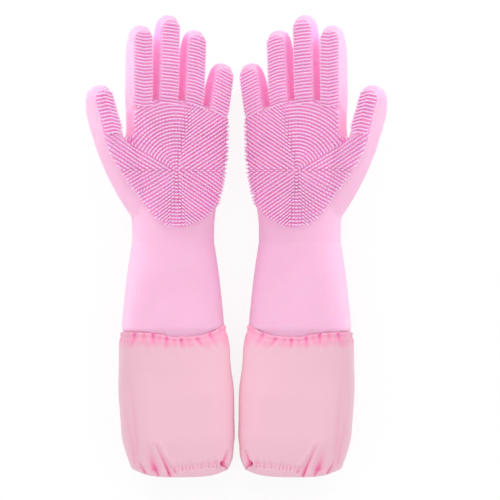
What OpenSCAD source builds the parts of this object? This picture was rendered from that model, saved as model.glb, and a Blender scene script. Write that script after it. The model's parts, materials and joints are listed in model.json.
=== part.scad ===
// A pair of silicone scrubbing gloves with gathered fabric sleeves, lying palm up on a flat surface.
// +Y runs from the sleeves to the fingertips, +Z is up, and the two gloves mirror each other across X.
// Every glove is worked out as the left one, and the right one is its mirror image.

/* [Pose] */
// Distance from the middle of the pair to the middle of each palm
hand_x = 54.2; // [52:0.1:80]
// Turn of each palm towards the middle of the pair
roll = 26; // [16:1:30]
// Turn that is left at the open end of the sleeve
cuff_roll = 7; // [0:1:12]

/* [Hand] */
// Width of the palm at the knuckles
palm_w = 110; // [104:1:120]
// Thickness of the palm
palm_t = 34; // [30:1:38]
// Width of the wrist
wrist_w = 87; // [78:1:94]
// Thickness of the wrist
wrist_t = 42; // [36:1:46]
// Length from the wrist crease to the webs of the fingers
hand_len = 141; // [130:1:150]
// How much lower the web beside the little finger lies
web_drop = 9; // [4:1:12]
// Thickness of the silicone
wall = 2; // [1.2:0.1:2.6]

/* [Fingers] */
// Width of a finger stall
finger_w = 22; // [19:0.5:24]
// Thickness of a finger stall
finger_t = 26; // [23:0.5:28]
// Distance from one finger to the next
finger_pitch = 28.6; // [27:0.1:30]
// Length of the index stall past its knuckle
index_len = 66; // [58:1:74]
// Length of the middle stall past its knuckle
middle_len = 77; // [66:1:86]
// Length of the ring stall past its knuckle
ring_len = 62.5; // [55:0.5:72]
// Length of the little stall past its knuckle
little_len = 39; // [36:1:50]
// Share of a stall's length that lies before its middle crease
base_share = 0.45; // [0.4:0.01:0.5]
// Height of the index, middle and ring knuckles above their webs
knuckle_rise = 9; // [7:0.5:12]
// Outward lean of the index stall
index_lean = 0.5; // [0:0.1:2]
// Outward lean of the middle stall
middle_lean = 1.8; // [0:0.1:3]
// Outward lean of the ring stall
ring_lean = 2.6; // [1:0.1:4]
// Outward lean of the little stall
little_lean = 8.5; // [5:0.1:10]
// Length of the root of a finger stall inside the hand, measured from its knuckle
root_len = 17; // [14:0.5:20]
// Depth of that root below the face of the palm
root_drop = 3.5; // [2:0.5:5]

/* [Thumb] */
// Width of the thumb stall
thumb_w = 23; // [20:0.5:25]
// Thickness of the thumb stall
thumb_t = 26; // [22:0.5:28]
// Length of the thumb stall past its knuckle
thumb_len = 44; // [40:1:52]
// Lean of the thumb away from the fingers
thumb_lean = 17; // [12:0.5:22]
// Extra turn of the thumb about its own length
thumb_roll = 10; // [0:1:15]
// Distance of the thumb knuckle from the middle of the palm
thumb_across = 78; // [75:0.5:84]
// Height of the thumb knuckle above the wrist crease
thumb_up = 113; // [108:1:120]
// Width of the ball of the thumb
ball_w = 46; // [38:1:50]
// Height of the lower end of the ball of the thumb above the wrist crease
ball_low = 28; // [22:1:36]
// Depth of the ball of the thumb below the face of the palm
ball_drop = 6; // [5:0.5:8]

/* [Gauntlet] */
// Length of the gauntlet from the wrist crease to its rim
gauntlet_len = 112; // [95:1:125]
// Width of the gauntlet at its rim
rim_w = 106; // [98:1:112]
// Thickness of the gauntlet at its rim
rim_t = 49; // [44:1:54]
// Height of the bead round the rim
bead_h = 1.2; // [0.6:0.1:1.4]
// Width of the bead round the rim
bead_w = 2.4; // [1.6:0.1:3]

/* [Sleeve] */
// Length of the sleeve from its top edge to its hem
sleeve_len = 145; // [125:1:160]
// Width of the sleeve at its widest
sleeve_w = 115; // [112:1:122]
// Thickness of the sleeve at its fullest
sleeve_t = 58; // [56:1:64]
// Overlap of the sleeve on the gauntlet
sleeve_overlap = 20; // [14:1:26]
// Thickness of the fabric
fabric_t = 0.8; // [0.6:0.1:1.2]
// Width of the open end, drawn in by its elastic
hem_w = 90; // [80:1:100]
// Thickness of the open end
hem_t = 46; // [40:1:50]
// Height of the hem that holds the elastic
hem_h = 13; // [11:0.5:18]
// Width of an elastic band
elastic_w = 8; // [5:0.5:9]
// Thickness of an elastic band
elastic_t = 1; // [0.6:0.1:1.2]
// Depth of the gathers at the ends of the sleeve
gather = 1.6; // [0.5:0.1:2]
// Number of gathers round an end of the sleeve
gathers = 9; // [6:1:10]
// Depth of the long folds along the sleeve
fold = 1.3; // [0:0.1:2]

/* [Scrubbers] */
// Length of a bristle
bristle_len = 4.5; // [2:0.1:5]
// Thickness of the layer that the bristles grow from
slice_t = 1; // [0.6:0.1:1.4]
// Number of rings of bristles on the palm
palm_rings = 5; // [4:1:5]
// Bare margin beside the palm scrubber
palm_margin = 8; // [6:1:14]
// Height of the palm scrubber's lower edge above the wrist crease
palm_pad_low = 16; // [12:1:30]
// Bare margin between the palm scrubber and the webs
web_margin = 2; // [1:0.5:6]
// Bare margin beside a finger scrubber
strip_margin = 2.8; // [2:0.1:5]
// Distance between two rows of bristles on a finger
row_pitch = 8; // [7:0.5:10]
// Bare length of a stall beside its knuckle
knuckle_bare = 5.4; // [5:0.1:8]
// Bare length of a stall beside its middle crease
crease_bare = 6; // [5.5:0.1:8]
// Bare length of a stall at its tip
tip_bare = 8; // [6:0.5:10]

/* [Fits] */
// Slit between two pieces that fold on each other
joint_gap = 0.6; // [0.4:0.1:1]
// Space between a piece and the skin that it lies on
skin_gap = 0.4; // [0.3:0.05:0.6]
// Depth that a sleeve is flattened by the surface under it
rest_flat = 0.5; // [0.3:0.1:1]

/* [Hidden] */
DIGITS = ["index", "middle", "ring", "little", "thumb"];

SKIN = "#f3c4dc";
SCRUB = "#f487c0";
CLOTH = "#eebccb";
ELASTIC = "#f6eef0";

// Roundness of the sections: 2 is an ellipse, and more is squarer
HAND_P = 3;
ARM_P = 2.5;
// Roundness of the palm scrubber's outline, above and below its middle
PAD_TOP_P = 5;
PAD_LOW_P = 2.4;
// Place of the inner columns of a finger scrubber, as a share of its half width
COLUMN_IN = 0.52;
// Points round the sections
HAND_N = 20;
DIGIT_N = 14;
ARM_N = 32;
CLOTH_RINGS = 11;
BAND_N = 24;
// Where the waist of the hand starts to widen and where the palm is at full width, as shares of its length
WIDEN_FROM = 0.12;
WIDEN_TO = 0.7;
// Where the webs start to slant down to the little finger, in finger pitches from the middle of the palm
SLANT_FROM = 1 / 3;
// Rounding of the webs as a share of the stalls' thickness, and the rise and inset of its middle ring
WEB_ROUND = 1 / 4;
WEB_RING = [1 / 3, 1 / 4];
// Spread of a bristle at its foot and at its tip, as shares of the triangle that it grows from
FOOT = 0.5;
POINT = 0.3;
// Shares of the sleeve's length: where it is fullest, and the stretch that its hem draws in
FULL_AT = 0.45;
DRAWN = 0.42;
// Shares of the sleeve's length that are gathered at its top and at its open end
TOP_GATHERED = 0.2;
END_GATHERED = 0.25;
// Long folds round the sleeve, and how far they wind round it from end to end
FOLDS = 3;
FOLD_TWIST = 200;
// Share of the arm's length over which its turn eases off
UNROLL = 2 / 3;
// Height of the lip beyond the rim's bead, as a share of the bead's
BEAD_LIP = 1 / 3;
// How far a hollow is cut past the end of its solid
THROUGH = 1;

function mix(a, b, t) = a + (b - a) * t;
function ease(t) = let (c = max(0, min(1, t))) c * c * (3 - 2 * c);
function signed_power(v, e) = sign(v) * pow(abs(v), e);
function flip(faces) = [for (f = faces) [f[2], f[1], f[0]]];

// A section's point at an angle, its height above its middle at a distance across, and its reach
function section_point(a, b, p, angle) =
    [a * signed_power(cos(angle), 2 / p), b * signed_power(sin(angle), 2 / p)];
function section_height(a, b, p, across) = b * pow(max(0, 1 - pow(abs(across / a), p)), 1 / p);
function section_reach(a, b, p, angle) =
    let (q = p / (p - 1)) pow(pow(abs(a * sin(angle)), q) + pow(abs(b * cos(angle)), q), 1 / q);

// Faces of the wall through a stack of rings, and of a flat end that looks back along the stack
function wall_faces(n, rings, first) = [
    for (i = [0 : rings - 2])
        for (j = [0 : n - 1])
            let (a = first + i * n + j, b = first + i * n + (j + 1) % n)
                each [[a, a + n, b], [b, a + n, b + n]]
];
function end_faces(n, first) = [for (j = [1 : n - 2]) [first, first + j, first + j + 1]];
function rim_faces(n, out, in) = [
    for (j = [0 : n - 1])
        let (k = (j + 1) % n)
            each [[out + j, out + k, in + k], [out + j, in + k, in + j]]
];

// A closed solid through a stack of rings
module loft(rings) {
    n = len(rings[0]);
    last = (len(rings) - 1) * n;
    polyhedron(
        [for (r = rings) each r],
        flip(concat(wall_faces(n, len(rings), 0), end_faces(n, 0), flip(end_faces(n, last))))
    );
}

// A shell between outer and inner rings, open at its start and open or closed at its end
module shell(outer, inner, closed) {
    n = len(outer[0]);
    out_last = (len(outer) - 1) * n;
    in_first = len(outer) * n;
    in_last = in_first + (len(inner) - 1) * n;
    far_end = closed
        ? concat(flip(end_faces(n, out_last)), end_faces(n, in_last))
        : flip(rim_faces(n, out_last, in_last));
    polyhedron(
        concat([for (r = outer) each r], [for (r = inner) each r]),
        flip(concat(
            wall_faces(n, len(outer), 0),
            flip(wall_faces(n, len(inner), in_first)),
            rim_faces(n, 0, in_first),
            far_end
        ))
    );
}

// A closed ring whose section follows a loop of outlines, each a ring of points
module band(loops) {
    n = len(loops[0]);
    count = len(loops);
    polyhedron(
        [for (r = loops) each r],
        flip(concat(
            wall_faces(n, count, 0),
            [
                for (j = [0 : n - 1])
                    let (a = (count - 1) * n + j, b = (count - 1) * n + (j + 1) % n, k = (j + 1) % n)
                        each [[a, j, b], [b, j, k]]
            ]
        ))
    );
}

// A layer with a three-sided bristle on each of the listed triangles
module bristled(bottoms, tops, tufts, plain, edge) {
    n = len(tops);
    feet = 2 * n;
    points = feet + 3 * len(tufts);
    function middle(t) = (tops[t[0]] + tops[t[1]] + tops[t[2]]) / 3;
    function up(t) =
        let (v = middle(t) - (bottoms[t[0]] + bottoms[t[1]] + bottoms[t[2]]) / 3) v / norm(v);
    foot_points = [for (t = tufts) for (i = t) mix(middle(t), tops[i], FOOT)];
    tip_points = [for (t = tufts) for (i = t) mix(middle(t), tops[i], POINT) + bristle_len * up(t)];
    tuft_faces = [
        for (k = [0 : len(tufts) - 1])
            for (i = [0 : 2])
                let (
                    j = (i + 1) % 3,
                    a = tufts[k][i],
                    b = tufts[k][j],
                    fa = feet + 3 * k + i,
                    fb = feet + 3 * k + j,
                    ta = points + 3 * k + i,
                    tb = points + 3 * k + j
                )
                    each [[a, b, fb], [a, fb, fa], [fa, fb, tb], [fa, tb, ta]]
    ];
    tip_faces = [for (k = [0 : len(tufts) - 1]) [points + 3 * k, points + 3 * k + 1, points + 3 * k + 2]];
    under = [for (t = concat(tufts, plain)) [t[2] + n, t[1] + n, t[0] + n]];
    sides = [
        for (k = [0 : len(edge) - 1])
            let (a = edge[k], b = edge[(k + 1) % len(edge)])
                each [[a + n, b + n, b], [a + n, b, a]]
    ];
    polyhedron(
        concat(tops, bottoms, foot_points, tip_points),
        flip(concat(tuft_faces, tip_faces, plain, under, sides))
    );
}

// The left glove as worked out, or its mirror image
module on(side) {
    if (side == "left") children();
    else mirror([1, 0, 0]) children();
}

// Hand: x across towards the little finger, y along from the wrist crease, z up from the palm's face
knuckle_y = hand_len + knuckle_rise;
little_y = knuckle_y - web_drop;
hand_reach = knuckle_y + middle_len * cos(middle_lean);
arm_reach = gauntlet_len - sleeve_overlap + sleeve_len;
wrist_y = (arm_reach - hand_reach) / 2;
palm_reach = section_reach(palm_w / 2, palm_t / 2, HAND_P, roll) + palm_t / 2 * cos(roll);
wrist_reach = section_reach(wrist_w / 2, wrist_t / 2, ARM_P, roll) + wrist_t / 2 * cos(roll);
palm_z = max(palm_reach, wrist_reach);

function hand_point(p) = [
    -hand_x + p.x * cos(roll) + p.z * sin(roll),
    wrist_y + p.y,
    palm_z - p.x * sin(roll) + p.z * cos(roll)
];

function palm_full(y) = ease((y / hand_len - WIDEN_FROM) / (WIDEN_TO - WIDEN_FROM));
function palm_a(y) = mix(wrist_w, palm_w, palm_full(y)) / 2;
function palm_b(y) =
    mix(mix(wrist_t, palm_t, palm_full(y)), finger_t, ease((y / hand_len - WIDEN_TO) / (1 - WIDEN_TO))) / 2;
function palm_p(y) = mix(ARM_P, HAND_P, palm_full(y));
function web_slant(x, y) = web_drop * ease(x / finger_pitch - SLANT_FROM) * ease(2 * y / hand_len - 1);
function palm_ring(y, inset) = [
    for (i = [0 : HAND_N - 1])
        let (s = section_point(palm_a(y) - inset, palm_b(y) - inset, palm_p(y), 360 * i / HAND_N))
            hand_point([s.x, y - web_slant(s.x, y), s.y - palm_b(y)])
];

PALM_STEPS = [0.14, 0.3, 0.44, 0.58, 0.74, 0.9];
module palm_block(inset, from) {
    web = WEB_ROUND * finger_t;
    steps = [for (s = PALM_STEPS) palm_ring(s * hand_len, inset)];
    loft(concat([palm_ring(from, inset)], steps, [
        palm_ring(hand_len - web * WEB_RING[0] - inset, inset + web * WEB_RING[1]),
        palm_ring(hand_len - inset, inset + web)
    ]));
}

// Digits: knuckle across and along, lean, turn, half width, half thickness, length
function finger(place, y, lean, length) =
    [(place - 1.5) * finger_pitch, y, lean, 0, finger_w / 2, finger_t / 2, length];
function digit(name) =
    name == "index" ? finger(0, knuckle_y, index_lean, index_len)
    : name == "middle" ? finger(1, knuckle_y, middle_lean, middle_len)
    : name == "ring" ? finger(2, knuckle_y, ring_lean, ring_len)
    : name == "little" ? finger(3, little_y, little_lean, little_len)
    : [-thumb_across, thumb_up, -thumb_lean, thumb_roll, thumb_w / 2, thumb_t / 2, thumb_len];
function crease(d) = d[6] * base_share;

// A digit's own point: across, along from its knuckle and up from its palm side
function digit_point(d, p) =
    let (x = p.x * cos(d[3]) + p.z * sin(d[3]), z = p.z * cos(d[3]) - p.x * sin(d[3]))
        hand_point([
            d[0] + x * cos(d[2]) + p.y * sin(d[2]),
            d[1] - x * sin(d[2]) + p.y * cos(d[2]),
            z
        ]);
function digit_ring(d, along, size, inset, drop = 0) = [
    for (i = [0 : DIGIT_N - 1])
        let (s = section_point(d[4] * size - inset, d[5] * size - inset, HAND_P, 360 * i / DIGIT_N))
            digit_point(d, [s.x, along, s.y - d[5] - drop])
];

// Length of a rounded tip in half widths of its stall
TIP_ROUND = 1.15;
// Shares of the tip's length and of the stall's section where the tip rounds off, outside and inside
TIP_OUT = [[0, 1], [0.5, 0.91], [0.8, 0.7], [0.97, 0.42]];
TIP_IN = [[0, 1], [0.65, 0.8], [0.95, 0.42]];
function tip_rings(d, from, inset, steps) =
    let (round = d[4] * TIP_ROUND, start = d[6] - round)
        concat(
            [digit_ring(d, from, 1, inset)],
            [for (t = steps) digit_ring(d, start + t[0] * (round - inset), t[1], inset * t[1])]
        );

// Ball of the thumb: where it starts across the wrist, how its width swells, in degrees of a sine,
// and the shares of its length over which it deepens and sinks below the palm
BALL_FROM = 1 / 3;
BALL_SWELL = 162;
BALL_DEEP = 0.5;
BALL_SUNK = 0.25;
// Its sections from its lower end, at a share of 1, up to the thumb's knuckle, at 0
function ball_section(t) = [
    -mix(wrist_w * BALL_FROM, thumb_across, pow(1 - t, 2)),
    mix(thumb_up, ball_low, t),
    -thumb_lean,
    thumb_roll * (1 - t),
    mix(thumb_w, ball_w, sin(BALL_SWELL * t)) / 2,
    mix(thumb_t, palm_t, ease(t / BALL_DEEP)) / 2
];
BALL_STEPS = [1, 0.6, 0.25];
function ball_ring(t, inset) = digit_ring(ball_section(t), 0, 1, inset, ball_drop * ease(t / BALL_SUNK));

module hand_block(inset, open) {
    palm_block(inset, joint_gap / 2 - open);
    for (name = DIGITS) {
        d = digit(name);
        root = name == "thumb"
            ? [for (t = BALL_STEPS) ball_ring(t, inset)]
            : [digit_ring(d, -root_len, 1, inset, root_drop)];
        stack = concat(root, [digit_ring(d, -joint_gap / 2 + open, 1, inset)]);
        for (i = [0 : len(stack) - 2])
            hull() loft([stack[i], stack[i + 1]]);
    }
}

module hand(side) {
    color(SKIN) on(side) difference() {
        hand_block(0, 0);
        hand_block(wall, THROUGH);
    }
}

module digit_base(side, name) {
    d = digit(name);
    from = joint_gap / 2;
    to = crease(d) - joint_gap / 2;
    color(SKIN) on(side) shell(
        [digit_ring(d, from, 1, 0), digit_ring(d, to, 1, 0)],
        [digit_ring(d, from, 1, wall), digit_ring(d, to, 1, wall)],
        false
    );
}

module digit_tip(side, name) {
    d = digit(name);
    from = crease(d) + joint_gap / 2;
    color(SKIN) on(side) shell(tip_rings(d, from, 0, TIP_OUT), tip_rings(d, from, wall, TIP_IN), true);
}

// Scrubber strip along the palm side of a digit, three bristles to a row
module digit_strip(side, name, from, to) {
    d = digit(name);
    half = d[4] - strip_margin;
    columns = [-half, -half * COLUMN_IN, half * COLUMN_IN, half];
    rows = max(1, round((to - from) / row_pitch));
    function skin(x) = section_height(d[4], d[5], HAND_P, x) - d[5] + skin_gap;
    function grid(lift) = [
        for (r = [0 : rows]) for (x = columns)
            digit_point(d, [x, mix(from, to, r / rows), skin(x) + lift])
    ];
    cells = [for (r = [0 : rows - 1]) for (c = [0 : 2]) [4 * r + c, c % 2]];
    tufts = [
        for (k = cells)
            let (a = k[0]) k[1] == 0 ? [a, a + 1, a + 5] : [a, a + 1, a + 4]
    ];
    plain = [
        for (k = cells)
            let (a = k[0]) k[1] == 0 ? [a, a + 5, a + 4] : [a + 1, a + 5, a + 4]
    ];
    edge = concat(
        [0, 1, 2, 3],
        [for (r = [1 : rows]) 4 * r + 3],
        [4 * rows + 2, 4 * rows + 1],
        [for (r = [rows : -1 : 1]) 4 * r]
    );
    color(SCRUB) on(side) bristled(grid(0), grid(slice_t), tufts, plain, edge);
}

module digit_base_scrubber(side, name) {
    d = digit(name);
    digit_strip(side, name, knuckle_bare, crease(d) - crease_bare);
}

module digit_tip_scrubber(side, name) {
    d = digit(name);
    digit_strip(side, name, crease(d) + crease_bare, d[6] - tip_bare);
}

// Palm scrubber: rings of bristles, six more in each ring than in the one inside it
module palm_scrubber(side) {
    top_y = little_y - knuckle_rise - web_margin;
    middle_y = mix(palm_pad_low, top_y, 0.5);
    half_h = (top_y - palm_pad_low) / 2;
    half_w = palm_w / 2 - palm_margin;
    function reach(angle) =
        let (p = sin(angle) > 0 ? PAD_TOP_P : PAD_LOW_P)
            pow(pow(abs(cos(angle) / half_w), p) + pow(abs(sin(angle) / half_h), p), -1 / p);
    function narrow(y) = (palm_a(y) - palm_margin) / half_w;
    function spot(k, j) =
        let (angle = 60 * j / k, r = reach(angle) * k / palm_rings, y = middle_y + r * sin(angle))
            [r * cos(angle) * narrow(y), y];
    spots = concat([[0, middle_y]], [for (k = [1 : palm_rings]) for (j = [0 : 6 * k - 1]) spot(k, j)]);
    function place(s, lift) =
        let (y = s.y + web_slant(s.x, s.y))
            hand_point([
                s.x,
                s.y,
                section_height(palm_a(y), palm_b(y), palm_p(y), s.x) - palm_b(y) + skin_gap + lift
            ]);
    function at(k, j) = k == 0 ? 0 : 1 + 3 * k * (k - 1) + j % (6 * k);
    tufts = [
        for (k = [1 : palm_rings]) for (q = [0 : 5]) for (i = [0 : k - 1])
            [at(k, q * k + i), at(k, q * k + i + 1), at(k - 1, q * (k - 1) + i)]
    ];
    plain = [
        for (k = [2 : palm_rings]) for (q = [0 : 5]) for (i = [0 : k - 2])
            [at(k - 1, q * (k - 1) + i + 1), at(k - 1, q * (k - 1) + i), at(k, q * k + i + 1)]
    ];
    edge = [for (j = [0 : 6 * palm_rings - 1]) at(palm_rings, j)];
    color(SCRUB) on(side) bristled(
        [for (s = spots) place(s, 0)],
        [for (s = spots) place(s, slice_t)],
        tufts,
        plain,
        edge
    );
}

// Arm: stations below the wrist crease, given as the distance down from it
rim_stack = skin_gap + elastic_t + skin_gap + fabric_t;
sleeve_top = gauntlet_len - sleeve_overlap;
sleeve_end = sleeve_top + sleeve_len;
hem_top = sleeve_end - hem_h;
function gauntlet_a(down) = mix(wrist_w, rim_w, down / gauntlet_len) / 2;
function gauntlet_b(down) = mix(wrist_t, rim_t, down / gauntlet_len) / 2;
function arm_roll(down) = mix(roll, cuff_roll, ease(down / (sleeve_end * UNROLL)));

// Sleeve: it follows the gauntlet to its rim, fills out below it and is drawn in at its open end
full_down = sleeve_top + sleeve_len * FULL_AT;
function fill_out(down) = ease((down - gauntlet_len) / (full_down - gauntlet_len));
function draw_in(down) = ease(1 - (sleeve_end - down) / (sleeve_len * DRAWN));
function sleeve_a(down) =
    mix(
        mix(gauntlet_a(min(down, gauntlet_len)) + rim_stack, sleeve_w / 2, fill_out(down)),
        hem_w / 2,
        draw_in(down)
    );
function sleeve_b(down) =
    mix(
        mix(gauntlet_b(min(down, gauntlet_len)) + rim_stack, sleeve_t / 2, fill_out(down)),
        hem_t / 2,
        draw_in(down)
    );

// Middle of the arm: the gauntlet lies clear of the surface under it, and the sleeve is pressed on it
wrist_middle = hand_point([0, 0, -wrist_t / 2]);
rest_press = rest_flat + fold;
function lowest(down, a, b) = section_reach(a, b, ARM_P, arm_roll(down));
wrist_clear = wrist_middle.z - lowest(0, wrist_w / 2, wrist_t / 2);
rim_clear = rim_stack + gather;
function gauntlet_z(down) =
    lowest(down, gauntlet_a(down), gauntlet_b(down)) + mix(wrist_clear, rim_clear, ease(down / sleeve_top));
function arm_z(down) =
    down < gauntlet_len
    ? gauntlet_z(down)
    : mix(
        gauntlet_z(gauntlet_len),
        lowest(down, sleeve_a(down), sleeve_b(down)) - rest_press,
        fill_out(down)
    );
function arm_point(down, s) =
    let (turn = arm_roll(down))
        [
            wrist_middle.x + s.x * cos(turn) + s.y * sin(turn),
            wrist_y - down,
            arm_z(down) - s.x * sin(turn) + s.y * cos(turn)
        ];
function arm_ring(down, a, b, n) = [
    for (i = [0 : n - 1])
        arm_point(down, section_point(a, b, ARM_P, 360 * i / n))
];

GAUNTLET_STEPS = [1, 0.7, 0.4, 0.15];
function gauntlet_ring(down, grow) =
    arm_ring(down, gauntlet_a(down) + grow, gauntlet_b(down) + grow, ARM_N);

// Gauntlet with a bead round its rim, which the sleeve's elastic can't slip over
module gauntlet(side) {
    downs = [for (s = GAUNTLET_STEPS) s * (gauntlet_len - 2 * bead_w)];
    color(SKIN) on(side) shell(
        concat(
            [gauntlet_ring(gauntlet_len, bead_h * BEAD_LIP)],
            [gauntlet_ring(gauntlet_len - bead_w / 2, bead_h)],
            [for (d = downs) gauntlet_ring(d, 0)],
            [gauntlet_ring(joint_gap / 2, 0)]
        ),
        [for (d = [gauntlet_len, gauntlet_len / 2, joint_gap / 2]) gauntlet_ring(d, -wall)],
        false
    );
}

// Fabric: gathers at both ends and long folds between, pressed flat where it rests
function past_rim(down) = max(0, down - gauntlet_len) / (sleeve_end - gauntlet_len);
function cloth_swell(down, angle) =
    let (t = (down - sleeve_top) / sleeve_len)
        gather * (1 - ease(t / TOP_GATHERED)) * (1 + cos(gathers * angle)) / 2
        + gather * ease((t - 1) / END_GATHERED + 1) * (1 - sin(gathers * angle)) / 2
        + fold * sin(FOLDS * angle + FOLD_TWIST * t) * sin(180 * past_rim(down));
function cloth_ring(down, inset, n) = [
    for (i = [0 : n - 1])
        let (
            angle = 360 * i / n,
            grow = cloth_swell(down, angle) - inset,
            p = arm_point(down, section_point(sleeve_a(down) + grow, sleeve_b(down) + grow, ARM_P, angle))
        )
            [p.x, p.y, max(p.z, inset)]
];

module sleeve(side) {
    bottom = hem_top - skin_gap;
    downs = [for (i = [0 : CLOTH_RINGS - 1]) mix(bottom, sleeve_top, i / (CLOTH_RINGS - 1))];
    color(CLOTH) on(side) shell(
        [for (d = downs) cloth_ring(d, 0, ARM_N)],
        [for (d = downs) cloth_ring(d, fabric_t, ARM_N)],
        false
    );
}

// Elastic under the sleeve's top edge, stretched round the gauntlet above its bead
module sleeve_elastic(side) {
    low = sleeve_top + elastic_w + skin_gap;
    high = sleeve_top + skin_gap;
    color(ELASTIC) on(side) band([
        gauntlet_ring(low, skin_gap),
        gauntlet_ring(low, skin_gap + elastic_t),
        gauntlet_ring(high, skin_gap + elastic_t),
        gauntlet_ring(high, skin_gap)
    ]);
}

// Hem: the fabric folded inwards round the elastic of the open end
channel = elastic_t + 2 * skin_gap;
module cuff_hem(side) {
    inner = 2 * fabric_t + channel;
    color(CLOTH) on(side) band([
        cloth_ring(hem_top, 0, BAND_N),
        cloth_ring(hem_top, fabric_t, BAND_N),
        cloth_ring(sleeve_end - fabric_t, fabric_t, BAND_N),
        cloth_ring(sleeve_end - fabric_t, fabric_t + channel, BAND_N),
        cloth_ring(hem_top, fabric_t + channel, BAND_N),
        cloth_ring(hem_top, inner, BAND_N),
        cloth_ring(sleeve_end, inner, BAND_N),
        cloth_ring(sleeve_end, 0, BAND_N)
    ]);
}

module cuff_elastic(side) {
    low = sleeve_end - fabric_t - skin_gap;
    high = low - elastic_w;
    inset = fabric_t + skin_gap;
    color(ELASTIC) on(side) band([
        cloth_ring(low, inset + elastic_t, BAND_N),
        cloth_ring(low, inset, BAND_N),
        cloth_ring(high, inset, BAND_N),
        cloth_ring(high, inset + elastic_t, BAND_N)
    ]);
}

for (side = ["left", "right"]) {
    gauntlet(side);
    hand(side);
    palm_scrubber(side);
    for (d = DIGITS) {
        digit_base(side, d);
        digit_tip(side, d);
        digit_base_scrubber(side, d);
        digit_tip_scrubber(side, d);
    }
    sleeve(side);
    sleeve_elastic(side);
    cuff_hem(side);
    cuff_elastic(side);
}
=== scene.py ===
"""Looks of a pair of silicone scrubbing gloves with gathered fabric sleeves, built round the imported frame."""
import json
import math

import bmesh
import bpy
import numpy as np
from mathutils.bvhtree import BVHTree
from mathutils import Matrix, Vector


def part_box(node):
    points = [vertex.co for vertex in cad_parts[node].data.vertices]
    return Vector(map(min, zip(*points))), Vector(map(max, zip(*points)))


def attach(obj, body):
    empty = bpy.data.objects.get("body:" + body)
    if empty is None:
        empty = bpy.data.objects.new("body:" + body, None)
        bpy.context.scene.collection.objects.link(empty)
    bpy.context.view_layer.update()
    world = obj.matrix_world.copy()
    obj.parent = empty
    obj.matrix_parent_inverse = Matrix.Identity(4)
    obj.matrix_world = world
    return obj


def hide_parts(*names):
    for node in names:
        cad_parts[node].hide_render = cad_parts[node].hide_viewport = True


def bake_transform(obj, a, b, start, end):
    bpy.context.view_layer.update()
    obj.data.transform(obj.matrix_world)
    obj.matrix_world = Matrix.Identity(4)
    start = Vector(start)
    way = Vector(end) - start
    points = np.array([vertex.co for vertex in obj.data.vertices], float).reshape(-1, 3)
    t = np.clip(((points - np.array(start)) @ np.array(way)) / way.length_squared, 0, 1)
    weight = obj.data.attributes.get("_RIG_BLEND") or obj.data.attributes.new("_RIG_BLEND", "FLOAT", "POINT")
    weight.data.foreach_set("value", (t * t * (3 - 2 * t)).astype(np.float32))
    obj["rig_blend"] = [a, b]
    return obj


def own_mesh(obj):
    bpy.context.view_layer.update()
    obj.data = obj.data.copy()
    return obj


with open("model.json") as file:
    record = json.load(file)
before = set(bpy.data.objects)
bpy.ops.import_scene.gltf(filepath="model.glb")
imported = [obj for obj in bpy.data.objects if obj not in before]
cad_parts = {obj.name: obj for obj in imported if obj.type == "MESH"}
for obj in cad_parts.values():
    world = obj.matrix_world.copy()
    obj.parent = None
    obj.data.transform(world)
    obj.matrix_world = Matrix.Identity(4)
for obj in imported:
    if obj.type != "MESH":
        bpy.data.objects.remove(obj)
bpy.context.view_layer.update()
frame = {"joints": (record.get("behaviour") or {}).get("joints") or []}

# Studio: a white floor and, for each glove, a broad soft lamp low on its thumb's side.
# The long lens hangs straight over the pair.
mm = 0.001
view_side = 500 * mm
view_middle = (13.5 * mm, -2.5 * mm, 30 * mm)
lens_length, sensor_width = 360, 36
lens_back = view_side * lens_length / sensor_width

bpy.ops.object.select_all(action="DESELECT")
bpy.ops.object.camera_add(
    location=(view_middle[0], view_middle[1], view_middle[2] + lens_back), rotation=(0, 0, 0)
)
bpy.context.object.data.lens = lens_length
bpy.context.scene.camera = bpy.context.object
bpy.context.scene.view_settings.view_transform = "Standard"
# Light goes to and fro many times between pale pink walls, so more of its bounces are followed.
bpy.context.scene.cycles.diffuse_bounces = 16
bpy.context.scene.cycles.max_bounces = 20


def new_material(name):
    """A new material with its node tree and its shader."""
    material = bpy.data.materials.new(name)
    material.use_nodes = True
    return material, material.node_tree, material.node_tree.nodes["Principled BSDF"]


def dial(node, settings):
    """Sets a node's own inputs by their names."""
    for socket, value in settings.items():
        node.inputs[socket].default_value = value


def calculated(tree, operation, *values):
    """What a Math node of a tree makes of numbers and of other nodes' outputs."""
    node = tree.nodes.new("ShaderNodeMath")
    node.operation = operation
    for socket, value in zip(node.inputs, values):
        if isinstance(value, (int, float)):
            socket.default_value = value
        else:
            tree.links.new(value, socket)
    return node.outputs[0]


def seen_share(tree, share):
    """How much of a backdrop's own white is seen: a share of it in sight and in gloss, none as light."""
    path = tree.nodes.new("ShaderNodeLightPath")
    either = calculated(tree, "MAXIMUM", path.outputs["Is Camera Ray"], path.outputs["Is Glossy Ray"])
    clear = calculated(tree, "MAXIMUM", either, path.outputs["Is Transmission Ray"])
    return calculated(tree, "MULTIPLY", clear, share)


floor_size, floor_drop = 12, 0.6 * mm
floor_colour, floor_seen = (0.96, 0.96, 0.96, 1), 0.86
bpy.ops.mesh.primitive_plane_add(size=floor_size, location=(0, 0, -floor_drop))
floor = bpy.context.object
floor.name = "floor"
floor_white, tree, paint = new_material("floor_white")
floor.data.materials.append(floor_white)
dial(paint, {"Base Color": floor_colour, "Roughness": 0.9, "Specular IOR Level": 0.1})
floor_mix = tree.nodes.new("ShaderNodeMixShader")
tree.links.new(seen_share(tree, floor_seen), floor_mix.inputs[0])
tree.links.new(paint.outputs[0], floor_mix.inputs[1])
tree.links.new(tree.nodes.new("ShaderNodeEmission").outputs[0], floor_mix.inputs[2])
tree.links.new(floor_mix.outputs[0], tree.nodes["Material Output"].inputs["Surface"])

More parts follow.
